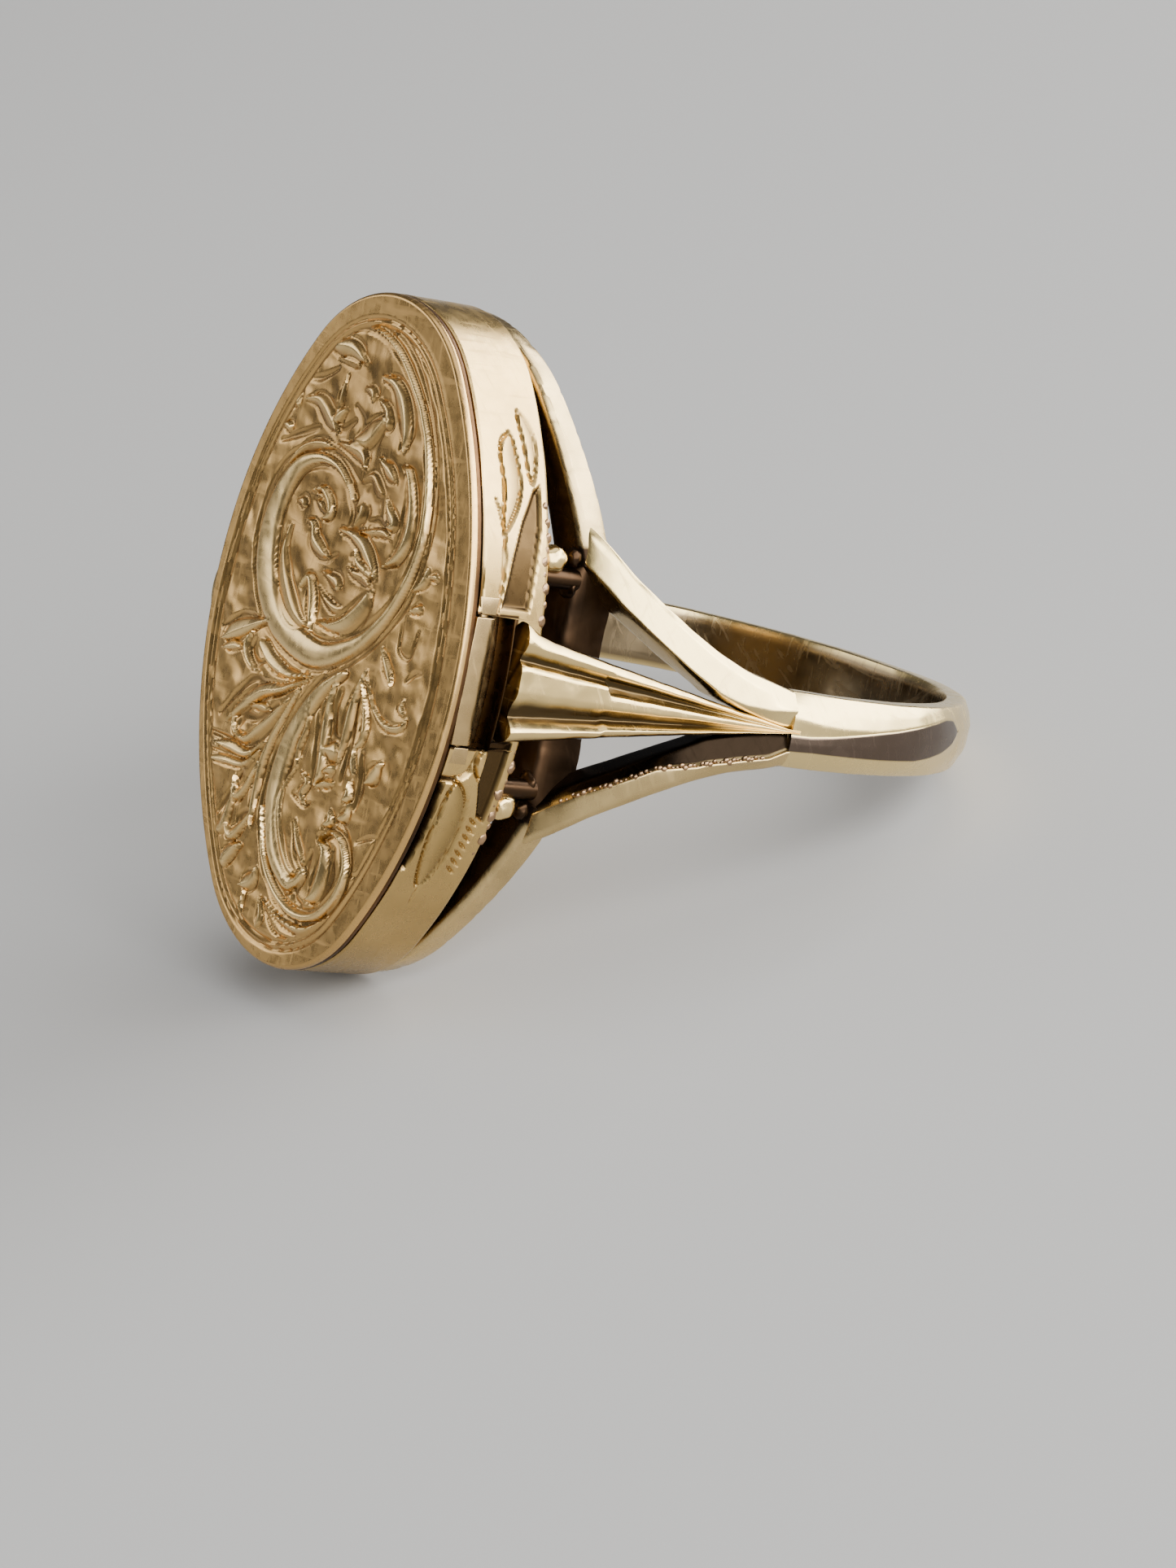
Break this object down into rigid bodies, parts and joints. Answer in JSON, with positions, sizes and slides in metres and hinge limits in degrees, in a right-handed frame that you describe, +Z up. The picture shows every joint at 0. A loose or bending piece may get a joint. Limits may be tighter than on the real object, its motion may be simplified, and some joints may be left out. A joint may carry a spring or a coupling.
{
  "type": "oval locket ring",
  "caption": "Finger ring carrying a hinged oval locket with an engraved lid, on split shoulders and a tapering shank.",
  "frame": {"origin": "centre of the finger bore, halfway along the locket's length", "axes": "the ring lies on its side as it rests on a table; +X towards the hinge side, the locket faces -Y tilted up, +Z up"},
  "size_m": [0.019, 0.0246, 0.0194],
  "materials": {
    "gold": "polished yellow gold with fine wear scratches",
    "gold_engraved": "hand-engraved yellow gold, satin in the cuts",
    "gold_worn": "worn yellow gold, slightly dulled",
    "gold_dark": "tarnished yellow gold that polishing does not reach",
    "card": "plain aged card",
    "window": "clear"
  },
  "bodies": {
    "ring": {"shank": "gold_worn", "shoulder_fan_hinge_side": "gold", "shoulder_fan_catch_side": "gold", "shoulder_upper_hinge_side": "gold", "shoulder_upper_catch_side": "gold", "shoulder_lower_hinge_side": "gold", "shoulder_lower_catch_side": "gold", "gallery_arch_upper": "gold_dark", "gallery_arch_lower": "gold_dark", "gallery_bridge_hinge_side": "gold_dark", "gallery_bridge_catch_side": "gold_dark", "gallery_pegs": "gold_dark", "case_back": "gold", "case_wall": "gold", "case_inner_lip": "gold_worn", "case_knuckle_upper": "gold", "case_knuckle_lower": "gold", "hinge_pin": "gold_worn", "picture_card": "card", "picture_window": "window", "picture_bezel": "gold"},
    "lid": {"lid_plate": "gold_engraved", "lid_rim": "gold", "lid_knuckle": "gold", "lid_thumb_lip": "gold"}
  },
  "joints": [
    {"name": "lid_hinge", "type": "hinge", "parent": "ring", "child": "lid", "pos_m": [0.00585, -0.01068, 0.00514], "axis": [0, 0.434, 0.9009], "range_deg": [0, 100]}
  ]
}
